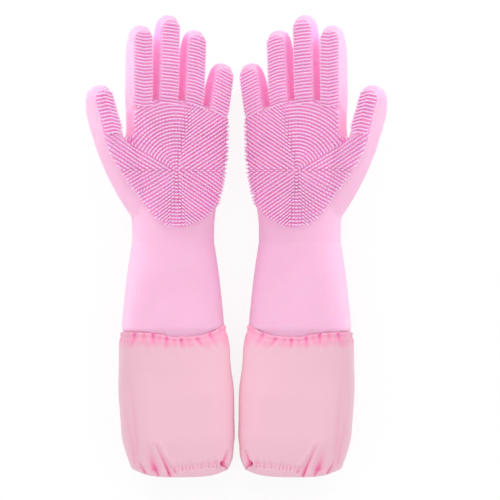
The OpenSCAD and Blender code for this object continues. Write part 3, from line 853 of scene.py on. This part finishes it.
# The pins are broad along ridges and lean outwards along them. Besides running round the rings, the pins line
# up beside the two edges of each sixth of a turn, and a ridge follows one of these three lines, by its turn.
sixth = math.pi / 3
from_middle = palm_feet - palm_feet[0]
outwards = np.arctan2(from_middle[:, 1], from_middle[:, 0])
turn = (outwards - sixth / 2) % (2 * math.pi)
share = turn / sixth % 1
lines = {
    "first": (1 - 1j * sixth * share) ** 2,
    "second": (1 + 1j * sixth * (1 - share)) ** 2,
    "round": np.full(len(turn), -sixth**2 + 0j),
}
ridge_kinds = ("first", "round", "first", "second", "first", "round", "second", "first", "second")
ridge_starts = np.radians((48, 120, 150, 180, 233, 247, 300, 330))
ridge_soft = math.radians(12)
ridge_least, ridge_join, ridge_lean, palm_upright = 0.8, 1.16, 0.5, 0.8
ridge_line = lines[ridge_kinds[0]]
for start, kind in zip(ridge_starts, ridge_kinds[1:]):
    ridge_line = mix(ridge_line, lines[kind], ease((turn - start) / ridge_soft + 0.5))
ridge_line = np.sqrt(ridge_line)
ridge_size = ridge_join * np.maximum(np.abs(ridge_line), ridge_least)
ridge_way = outwards + np.angle(ridge_line)
palm_ridges = np.stack((np.cos(ridge_way), np.sin(ridge_way), 0 * ridge_way), axis=1)
full_height = (palm_heights - finger_bristle) / (1 - finger_bristle)
palm_lean = ridge_lean * np.cos(np.angle(ridge_line)) * full_height
palm_ways = mix(palm_ways, palm_lean[:, None] * palm_ridges + (0, 0, 1), palm_upright)
palm_ridges *= ridge_size[:, None]
bristles = {"palm": [(palm_feet[kept], palm_ways[kept], palm_heights[kept], palm_ridges[kept])]}

row_pitch, column_pitch, columns = 3.3 * mm, 2.35 * mm, 8
thumb_pitch, thumb_column_pitch = 3.6 * mm, 2.5 * mm
row_start, row_past, row_upright = 0.2, 3 * mm, 0.75
# How steeply the rows run along a stall, on the thumb's side of its middle and on the other.
row_tilts = {
    "index": (-0.2, 0.12), "middle": (-0.04, -0.1), "ring": (-0.14, -0.36), "little": (-0.3, -0.3),
    "thumb": (-0.1, -0.6),
}
for name in digits:
    knuckle, across_way, along_way, up_way = digit_frame(name)
    rows_apart, apart_across, height = row_pitch, column_pitch, finger_bristle
    if name == "thumb":
        rows_apart, apart_across, height = thumb_pitch, thumb_column_pitch, thumb_bristle
    last_row = stall_length[name] - strip_tip + row_past
    rows = np.arange(row_roots[name] + row_start * rows_apart, last_row, rows_apart)
    steps = (np.arange(columns) - (columns - 1) / 2) * apart_across
    tilts = np.where(steps < 0, *row_tilts[name])
    middle = stall_shift[name]
    aims = np.array([
        knuckle + (step + middle) * across_way + (row + tilt * step) * along_way + reach_up * up_way
        for row in rows for step, tilt in zip(steps, tilts)
    ])
    feet, ways = on_skin(aims, -up_way)
    kept = scrub_depth(feet) > bristle_margin
    feet, ways = feet[kept], mix(ways[kept], up_way, row_upright)
    across, along, up = on_digit(name, feet)
    bend_at = np.linalg.norm(spot(f"left_{name}_crease") - knuckle) - crease_bend
    root, end = along < knuckle_bend[0], along >= bend_at
    row_ways = across_way + np.outer(np.where(across < middle, *row_tilts[name]), along_way)
    for part, there in (("palm", root), (f"{name}_base", ~root & ~end), (f"{name}_tip", end)):
        bristles.setdefault(part, []).append((feet[there], ways[there], height, row_ways[there]))

# Painted light and shade: each pin darkens towards its foot, where shade falls between the pins, and lightens to
# a highlight at its tip.
painted_shade_foot_colour, painted_light_tip_colour = (1.0, 0.45, 0.75, 1), (1.0, 0.65, 0.90, 1)
scrub_silicone = silicone("silicone_bristles", painted_shade_foot_colour, painted_light_tip_colour, "tip", 0.04, 0.15 * mm)
shake, bristle_shake = np.random.default_rng(7), 0.025
for part, groups in bristles.items():
    feet = np.concatenate([group[0] for group in groups])
    ways = np.concatenate([group[1] for group in groups])
    heights = np.concatenate([np.broadcast_to(group[2], len(group[0])) for group in groups])
    ridges = np.concatenate([np.broadcast_to(group[3], group[0].shape) for group in groups])
    ways = ways + shake.normal(0, bristle_shake, ways.shape)
    left_piece = plant(f"left_{part}_bristles", feet, ways, heights, ridges)
    # The tip mask grows up each pin and carries the painted shade at its foot and the painted light at its tip.
    tip = left_piece.data.attributes.new("tip", "FLOAT", "POINT")
    tip.data.foreach_set("value", np.outer(heights, bristle_share).ravel().astype(np.float32))
    left_piece.data.materials.append(scrub_silicone)
    left_piece.data.shade_smooth()
    for side, piece in both_sides(left_piece):
        bend_with(piece, side, part)
        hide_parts(f"{side}_{part}_scrubber")

# Sleeve: one thin woven tube, gathered on elastic round the gauntlet and again at its open end.
# It swells between the two, with short puckers under the top edge and longer ones over the hem.
hem_top_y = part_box("left_cuff_hem")[1].y
hem_top = wrist[1] - hem_top_y
sleeve_length = arm_length - sleeve_top
sleeve_width, sleeve_thick, sleeve_square = 112 * mm, 58 * mm, 3.4
hem_width, hem_thick, hem_rise = 96 * mm, 52 * mm, 0.62
over_skin, cloth_thick = 0.4 * mm, 0.4 * mm
floor_gap, floor_press = 0.3 * mm, 1.8 * mm
full_at = sleeve_top + 0.45 * sleeve_length
drawn_over, girth_radius = 30 * mm, 48 * mm
top_crease, end_crease = 2.1 * mm, 5.6 * mm
cloth_around = 400
folds = np.random.default_rng(21)
pucker_count, fold_count = 22, 9
under_puckers = np.radians(np.linspace(184, 356, pucker_count)) + folds.uniform(-0.04, 0.04, pucker_count)
under_depths = folds.uniform(0.5, 1.3, pucker_count) * mm
end_puckers = np.radians(np.linspace(180, 360, pucker_count)) + folds.uniform(-0.05, 0.05, pucker_count)
end_depths = folds.uniform(0.8, 2.0, pucker_count) * mm
under_folds = np.radians(np.linspace(185, 355, fold_count)) + folds.uniform(-0.1, 0.1, fold_count)
fold_depths = np.full(fold_count, 3 * mm)
under_half, end_half, fold_half = 1.5 * mm, 1.8 * mm, 3 * mm
slow_waves = [(k, folds.uniform(0, 2 * math.pi), folds.uniform(-3, 3)) for k in (2, 3, 5, 8)]
wave_depth = 1.0 * mm
# Lasting folds of the front: across and down at both ends, depth and half width, all in millimetres.
# First the puckers under the top edge, then the folds that run into the hem, then its line of fine puckers.
front_folds = [
    (-46, 105, -44, 94, 1.4, 2.2), (-36, 103, -35, 94, 0.9, 1.8), (-25, 105, -26, 92, 1.6, 2.4),
    (-21, 102, -19, 94, 0.8, 1.6), (-12.5, 106, -12, 94, 1.5, 2.0), (-4, 102, -5, 95, 0.7, 1.6),
    (3.5, 106, 3, 95, 1.6, 2.1), (11, 103, 10, 95, 0.8, 1.6), (27, 107, 19, 95, 1.3, 1.9),
    (38, 105, 32, 93, 1.3, 1.9), (43, 99, 44, 88, 1.0, 2.0),
    (-24, 203, -10, 234, 4.6, 1.8), (-16, 215, -6, 229, 2.2, 1.6), (-31, 208, -26.5, 226, 3.6, 4.0),
    (-27, 221, -22, 234, 3.4, 1.6), (-47, 134, -43, 211, 1.1, 2.2), (-54, 158, -46, 220, 1.4, 2.2),
    (-43, 214, -36, 231, 3.4, 1.7), (46.5, 209, 40, 221, 5.4, 1.7), (47, 228, 40, 221, 4.8, 1.5),
    (-8, 224, 39, 219, 0.8, 1.3),
]
for at in np.linspace(-6, 38, 13):
    line = 224 - 5 * (at + 8) / 47
    front_folds.append((at + folds.uniform(-3, 3), line - 4, at, line + 4, folds.uniform(0.6, 1.7), 1.0))
front_folds = np.array(front_folds) * mm
# The top edge is a narrow frill over the elastic, which draws a band of cloth in below it.
frill_down = np.array((0, 1.2, 2.4, 4, 7.5, 12, 20)) * mm
frill_swell = np.array((-0.9, 0.1, 0.2, -0.5, 0.7, 0.5, 0)) * mm
frill_high, frill_wave = 3 * mm, 0.5 * mm
band_high = 12 * mm
# The edge dips a little in front and stands up in an ear at the little finger's side.
top_across = np.array((-54, -40, -26, -6, 8, 24, 37, 49, 54)) * mm
front_edge = np.array((2.8, 2.8, 1.8, -2, -2, -0.4, 4, 10, 9)) * mm
under_edge = np.array((2.8, 1.5, 0, 0, 0, 0, 1, 5, 9)) * mm
edge_reach = 18 * mm
# The side next to the other glove bulges out under the ear and again over the hem.
flare_down = np.array((4, 14, 50, 85, 110, 125, 133)) * mm
flare = np.array((0, 2.8, 3.6, 1.8, 1, 3.6, 3)) * mm
sleeve_aside = 5 * mm


def apart(turn, other):
    """The smallest angle between two turns."""
    return (turn - other + math.pi) % (2 * math.pi) - math.pi


def girth_ring(turn, half_width, half_thick, squareness):
    """Points spaced evenly round a rounded rectangle, with the outward directions there."""
    fine = np.linspace(0, 2 * math.pi, 721)
    reach = np.abs(np.cos(fine) / half_width) ** squareness + np.abs(np.sin(fine) / half_thick) ** squareness
    line = np.stack((np.cos(fine), np.sin(fine)), axis=1) * reach[:, None] ** (-1 / squareness)
    steps = np.linalg.norm(np.diff(line, axis=0), axis=1)
    share = np.concatenate(((0,), np.cumsum(steps))) / steps.sum()
    at = turn / (2 * math.pi) % 1
    across, up = np.interp(at, share, line[:, 0]), np.interp(at, share, line[:, 1])
    out = np.stack((
        np.sign(across) * np.abs(across / half_width) ** (squareness - 1) / half_width,
        np.sign(up) * np.abs(up / half_thick) ** (squareness - 1) / half_thick,
    ))
    return across, up, out / np.linalg.norm(out, axis=0)


def settled(down):
    """How far the sleeve has come from the gauntlet's rim to its fullest place."""
    return ease((down - gauntlet_length) / (full_at - gauntlet_length))


def sleeve_size(down):
    """Half the sleeve's width and thickness: over the gauntlet, at its fullest, and drawn in to the hem."""
    drawn = np.clip(1 - (hem_top - down) / drawn_over, 0, 1) ** 1.5
    half_width, half_thick = gauntlet_size(np.minimum(down, gauntlet_length))
    half_width = mix(half_width + over_skin, sleeve_width / 2, settled(down))
    half_thick = mix(half_thick + over_skin, sleeve_thick / 2, settled(down))
    return mix(half_width, hem_width / 2, drawn), mix(half_thick, hem_thick / 2, drawn)


def front_pressed(across, down):
    """How deep the lasting folds press into the front of the sleeve, and how deep their creases alone are."""
    depth, crease = np.zeros_like(across), np.zeros_like(across)
    here = np.stack((across, down + 0 * across), axis=-1)
    for *ends, deep, wide in front_folds:
        start, way = np.array(ends[:2]), np.array(ends[2:]) - ends[:2]
        t = np.clip((here - start) @ way / (way @ way), 0, 1)
        aside = here - start - t[:, None] * way
        away = np.linalg.norm(aside, axis=1)
        crest = np.where(aside @ (way[1], -way[0]) > 0, 0.4, 0.2) * np.exp(-((away / wide - 2.3) ** 2))
        depth += deep * mix(0.3, 1, t) * (np.exp(-away / (0.8 * wide)) - crest)
        crease += deep * mix(0.1, 1, t) * np.exp(-((away / (0.85 * wide)) ** 2))
    return depth, crease


def puckered(turn, places, depths, half_width):
    """How deep a row of puckers presses in."""
    away = apart(turn, places[:, None]) * girth_radius / half_width
    return depths @ np.exp(-(away**2))


def cloth_swell(turn, down):
    """How far the cloth stands off its plain tube: a frill, puckers at both ends and slow folds between."""
    from_top, from_end = down - sleeve_top, hem_top - down
    frilled = ease(1 - from_top / frill_high) * np.sin(31 * turn) * np.sin(7 * turn + 1)
    banded = ease((from_top - 1 * mm) / (3 * mm)) * ease((band_high - from_top) / (5 * mm))
    gathered = math.exp(-((from_end / (6 * mm)) ** 2))
    drawn = ease(1 - from_end / (38 * mm))
    loose = ease((from_top - 24 * mm) / (40 * mm)) * ease((from_end + 20 * mm) / (50 * mm))
    swell = np.interp(from_top, frill_down, frill_swell) + frill_wave * frilled
    swell = swell - banded * puckered(turn, under_puckers, under_depths, under_half)
    swell = swell - gathered * puckered(turn, end_puckers, end_depths, end_half)
    swell = swell - drawn * puckered(turn, under_folds, fold_depths, fold_half)
    for waves, phase, wind in slow_waves:
        wave = np.sin(waves * turn + phase + wind * from_top / sleeve_length)
        swell = swell + wave_depth / waves**0.7 * loose * wave
    return swell


def cloth_height(down):
    """Height of the sleeve's middle: level with the gauntlet at its rim, and pressed on the floor past it."""
    if down < gauntlet_length:
        return gauntlet_height(down)
    pressed = arm_reach(down, *sleeve_size(down), lying_square) - floor_press
    return mix(gauntlet_height(gauntlet_length), pressed, settled(down))


def cloth_station(down, inset, pull=0.0):
    """A ring of the cloth, set in from its tube, with its shape of one place pulled along to another."""
    half_width, half_thick = sleeve_size(down)
    height = cloth_height(down)
    squareness = mix(arm_square, sleeve_square, ease((down - gauntlet_length) / (40 * mm)))
    from_top = down - sleeve_top

    def station(turn):
        across, up, out = girth_ring(turn, half_width, half_thick, squareness)
        pressed, crease = front_pressed(across, down - pull)
        grow = cloth_swell(turn, down) - inset - np.where(up > 0, pressed, 0)
        placed = arm_place(down, across + out[0] * grow, up + out[1] * grow, height)
        front, under = np.interp(across, top_across, front_edge), np.interp(across, top_across, under_edge)
        edge = np.where(up > 0, front, under) * ease(1 - from_top / edge_reach)
        shorter = 1 - hem_rise * np.abs(across / half_width) ** 3
        placed[:, 0] += sleeve_aside * ease((down - gauntlet_length) / (hem_top - gauntlet_length))
        placed[:, 0] += np.interp(from_top, flare_down, flare) * np.clip(across / half_width, 0, 1) ** 2
        placed[:, 1] += edge + pull * shorter
        placed[:, 2] = np.maximum(placed[:, 2], floor_gap + max(inset, 0))
        # The fourth column marks the colour: the top band's cloth gathered in layers, and painted shade in the
        # creases of the front's folds.
        uneven = 0.3 * np.sin(23 * turn) * np.sin(9 * turn)
        banded = ease((band_high + 3 * mm - from_top) / (8 * mm) + uneven)
        full = mix(top_crease, end_crease, ease(from_top / (30 * mm)))
        layers_and_crease_shade = 0.3 * banded + np.where(up > 0, crease, 0) / full
        return np.column_stack((placed, np.clip(layers_and_crease_shade, 0, 1)))

    return station


def unwrap(piece, width):
    """UV map in metres: round the tube and along it."""
    loops = np.zeros(len(piece.data.loops), int)
    piece.data.loops.foreach_get("vertex_index", loops)
    turns = np.zeros(len(piece.data.vertices), np.float32)
    piece.data.attributes["turn"].data.foreach_get("value", turns)
    starts = np.zeros(len(piece.data.polygons), int)
    piece.data.polygons.foreach_get("loop_start", starts)
    face_of = np.searchsorted(starts, np.arange(len(loops)), side="right") - 1
    round_share = turns[loops] / (2 * math.pi)
    highest = np.maximum.reduceat(round_share, starts)[face_of]
    round_share[(highest - round_share) > 0.5] += 1
    uv = np.stack((round_share * width, points_of(piece)[loops, 1]), axis=1)
    piece.data.uv_layers.new(name="cloth").data.foreach_set("uv", uv.ravel())


def woven(name, thread):
    """Node group: fine crossing threads and soft crinkles of a thin woven cloth."""
    group = bpy.data.node_groups.new(name, "ShaderNodeTree")
    for socket in ("Threads", "Crinkle"):
        group.interface.new_socket(socket, in_out="OUTPUT", socket_type="NodeSocketFloat")
    made = group.nodes.new("NodeGroupOutput")
    where = group.nodes.new("ShaderNodeTexCoord")
    split = group.nodes.new("ShaderNodeSeparateXYZ")
    group.links.new(where.outputs["UV"], split.inputs[0])
    turns = [calculated(group, "MULTIPLY", split.outputs[way], 2 * math.pi / thread) for way in ("X", "Y")]
    waves = [calculated(group, "SINE", turn) for turn in turns]
    group.links.new(calculated(group, "MULTIPLY", *waves), made.inputs["Threads"])
    group.links.new(noise(group, where, 70, 3), made.inputs["Crinkle"])
    return group


thread_pitch = 0.6 * mm
weave_group = woven("woven_threads", thread_pitch)
sleeve_colour = (0.82, 0.485, 0.585, 1)
layers_and_shade_colour, layers_and_shade_share = (0.91, 0.25, 0.47, 1), 0.7
painted_crease_shade_colour = (0.66, 0.14, 0.33, 1)


def cloth(name):
    """Thin woven cloth, deeper in colour where it is gathered in layers, and with painted shade darkest in its
    creases.
    """
    material, tree, shader = new_material(name)
    dial(shader, {"Roughness": 0.62, "Specular IOR Level": 0.35})
    dial(shader, {"Sheen Weight": 0.3, "Sheen Roughness": 0.4})
    weave = tree.nodes.new("ShaderNodeGroup")
    weave.node_tree = weave_group
    # The gathered mark holds the deeper colour of the top band's layers and painted shade in the creases.
    gathered = tree.nodes.new("ShaderNodeAttribute")
    gathered.attribute_name = "gathered"
    colours = tree.nodes.new("ShaderNodeValToRGB")
    colours.color_ramp.elements[0].color = sleeve_colour
    colours.color_ramp.elements[1].color = painted_crease_shade_colour
    colours.color_ramp.elements.new(layers_and_shade_share).color = layers_and_shade_colour
    tree.links.new(gathered.outputs["Fac"], colours.inputs["Fac"])
    threads, crinkle = weave.outputs["Threads"], weave.outputs["Crinkle"]
    tint(tree, colours.outputs["Color"], calculated(tree, "MULTIPLY_ADD", threads, 0.025, 1))
    emboss(tree, calculated(tree, "MULTIPLY_ADD", threads, 0.05, crinkle), 0.35, 1 * mm)
    return material


round_length = 330 * mm
sleeve_cloth = cloth("sleeve_cloth")


def sewn(name, stations):
    """A tube of the sleeve's cloth through stations, unwrapped and given its thickness."""
    piece = loft(name, stations, "NOTHING", cloth_around, "gathered")
    unwrap(piece, round_length)
    piece.data.materials.append(sleeve_cloth)
    finish_with(piece, "SOLIDIFY", thickness=cloth_thick, offset=-1)
    smooth_by_angle(piece)
    return piece


# The cloth has closer rings where it is puckered, and ends just short of the hem that it is one with.
fine_top, fine_end, seam_gap = 20 * mm, 36 * mm, 0.03 * mm
downs = np.concatenate((
    np.linspace(sleeve_top, sleeve_top + fine_top, 24, endpoint=False),
    np.linspace(sleeve_top + fine_top, hem_top - fine_end, 26, endpoint=False),
    np.linspace(hem_top - fine_end, hem_top - seam_gap, 36),
))
sleeve = sewn("left_sleeve_cloth", [cloth_station(down, 0) for down in downs])
# Each sleeve rides on its gauntlet.
for side, piece in both_sides(sleeve, ("right", "left")):
    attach(piece, f"{side}_gauntlet")
    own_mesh(piece)
    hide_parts(f"{side}_sleeve")

# Hem: the open end of the sleeve, of the same thin woven cloth.
# The cloth is turned in round the cuff elastic, drawn together in puckers and stitched down.
hem_clear = 2.5 * mm
hem_high = arm_length - hem_top - hem_clear
hem_inside, hem_taper, hem_puff = 3.4 * mm, 3.5 * mm, 0.8 * mm
hem_rings = 38


def hem_station(share):
    """A ring of the folded hem: down its outside for the first half of the share and up its inside after."""
    out_share = min(1, 2 * share)
    in_share = max(0, 2 * share - 1)
    puff = hem_puff * math.sin(math.pi * out_share) * (1 - in_share) - hem_taper * out_share
    fold = ease((out_share - 0.75) / 0.25) * 0.5 + ease(in_share / 0.25) * 0.5
    down = hem_top + hem_high * (out_share - in_share) * mix(1, 0.98, fold)
    return cloth_station(hem_top, fold * hem_inside - puff, hem_top - down)


hem = sewn("left_hem_cloth", [hem_station(share) for share in np.linspace(0, 1, hem_rings)])
for side, piece in both_sides(hem, ("right", "left")):
    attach(piece, f"{side}_cuff")
    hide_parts(f"{side}_cuff_hem")

# Elastics: two flat bands of knitted rubber thread, one in the sleeve's top edge and one in the hem.
# Each lies loose in its fold of cloth, hidden by it, and holds the cloth in by its own stretch.
elastic_thick, elastic_wide, elastic_edge = 0.6 * mm, 8 * mm, 0.25 * mm
elastic_white, tree, shader = new_material("knitted_elastic")
dial(shader, {"Roughness": 0.8})
ribs = tree.nodes.new("ShaderNodeTexWave")
ribs.bands_direction = "Y"
dial(ribs, {"Scale": 180, "Distortion": 1.5})
rib_where = tree.nodes.new("ShaderNodeTexCoord")
rib_colours = tree.nodes.new("ShaderNodeMix")
rib_colours.data_type = "RGBA"
dial(rib_colours, {"A": (0.80, 0.74, 0.76, 1), "B": (0.93, 0.89, 0.90, 1)})
tree.links.new(rib_where.outputs["Object"], ribs.inputs["Vector"])
tree.links.new(ribs.outputs["Fac"], rib_colours.inputs["Factor"])
tree.links.new(rib_colours.outputs["Result"], shader.inputs["Base Color"])
emboss(tree, ribs.outputs["Fac"], 1, 0.3 * mm)


def elastic(name, station_at, low, high):
    """A flat closed band between two distances down the arm."""
    steps = np.linspace(low, high, 7)
    corners = [(low, 0)] + [(down, 1) for down in steps] + [(down, 0) for down in steps[::-1]]
    stations = [station_at(down, thick * elastic_thick) for down, thick in corners]
    band = loft(name, stations, "NOTHING", cloth_around)
    bpy.ops.object.mode_set(mode="EDIT")
    bpy.ops.mesh.select_all(action="SELECT")
    bpy.ops.mesh.remove_doubles(threshold=0.01 * mm)
    bpy.ops.mesh.normals_make_consistent(inside=False)
    bpy.ops.object.mode_set(mode="OBJECT")
    band.data.materials.append(elastic_white)
    finish_with(band, "BEVEL", width=elastic_edge, segments=2, limit_method="ANGLE")
    band.data.shade_smooth()
    return band


band_gap, band_down = 0.15 * mm, 3 * mm
top_band = elastic(
    "left_top_elastic", lambda down, grow: gauntlet_station(down, band_gap + grow),
    sleeve_top + elastic_wide + band_down, sleeve_top + band_down,
)
for side, piece in both_sides(top_band):
    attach(piece, f"{side}_gauntlet")
    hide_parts(f"{side}_sleeve_elastic")
hem_band_in, hem_band_up = cloth_thick + 1.6 * mm, 1.4 * mm
hem_band_low = hem_top + hem_high - hem_band_up
hem_band = elastic(
    "left_hem_elastic",
    lambda down, grow: cloth_station(
        hem_top, hem_band_in - grow + hem_taper * (down - hem_top) / hem_high, hem_top - down
    ),
    hem_band_low, hem_band_low - elastic_wide,
)
for side, piece in both_sides(hem_band):
    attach(piece, f"{side}_cuff")
    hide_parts(f"{side}_cuff_elastic")
